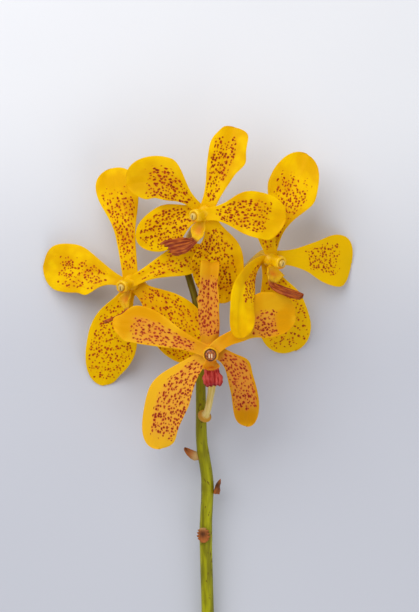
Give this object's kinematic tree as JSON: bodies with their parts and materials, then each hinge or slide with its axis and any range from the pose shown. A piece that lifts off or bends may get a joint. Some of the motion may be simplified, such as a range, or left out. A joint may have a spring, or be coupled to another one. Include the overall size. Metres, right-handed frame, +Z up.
{
  "type": "vanda orchid stem",
  "caption": "Cut orchid stem lying flat: a slender stalk with dry bracts carrying a loose spray of spotted five-petalled flowers, each with a small lip and column.",
  "frame": {"origin": "centre of the bounding box in plan, on the plane that the stem lies on", "axes": "+Y along the stalk from the cut end towards the flowers, +Z up, from the surface towards the flowers' faces, +X to the right when seen from above"},
  "size_m": [0.1044, 0.2062, 0.0381],
  "materials": {
    "petal": "satin",
    "lip": "satin",
    "column": "satin",
    "anther_cap": "satin",
    "pedicel": "satin",
    "stalk": "satin",
    "bract": "matte"
  },
  "bodies": {
    "root": {"stem": "stalk", "bract_upper": "bract", "bract_middle": "bract", "bract_lower": "bract", "top_dorsal_sepal": "petal", "top_petal_left": "petal", "top_petal_right": "petal", "top_lateral_sepal_left": "petal", "top_lateral_sepal_right": "petal", "top_lip": "lip", "top_column": "column", "top_anther_cap": "anther_cap", "top_pedicel": "pedicel", "left_dorsal_sepal": "petal", "left_petal_left": "petal", "left_petal_right": "petal", "left_lateral_sepal_left": "petal", "left_lateral_sepal_right": "petal", "left_lip": "lip", "left_column": "column", "left_anther_cap": "anther_cap", "left_pedicel": "pedicel", "right_dorsal_sepal": "petal", "right_petal_left": "petal", "right_petal_right": "petal", "right_lateral_sepal_left": "petal", "right_lateral_sepal_right": "petal", "right_lip": "lip", "right_column": "column", "right_anther_cap": "anther_cap", "right_pedicel": "pedicel", "front_dorsal_sepal": "petal", "front_petal_left": "petal", "front_petal_right": "petal", "front_lateral_sepal_left": "petal", "front_lateral_sepal_right": "petal", "front_lip": "lip", "front_column": "column", "front_anther_cap": "anther_cap", "front_pedicel": "pedicel"}
  },
  "joints": []
}
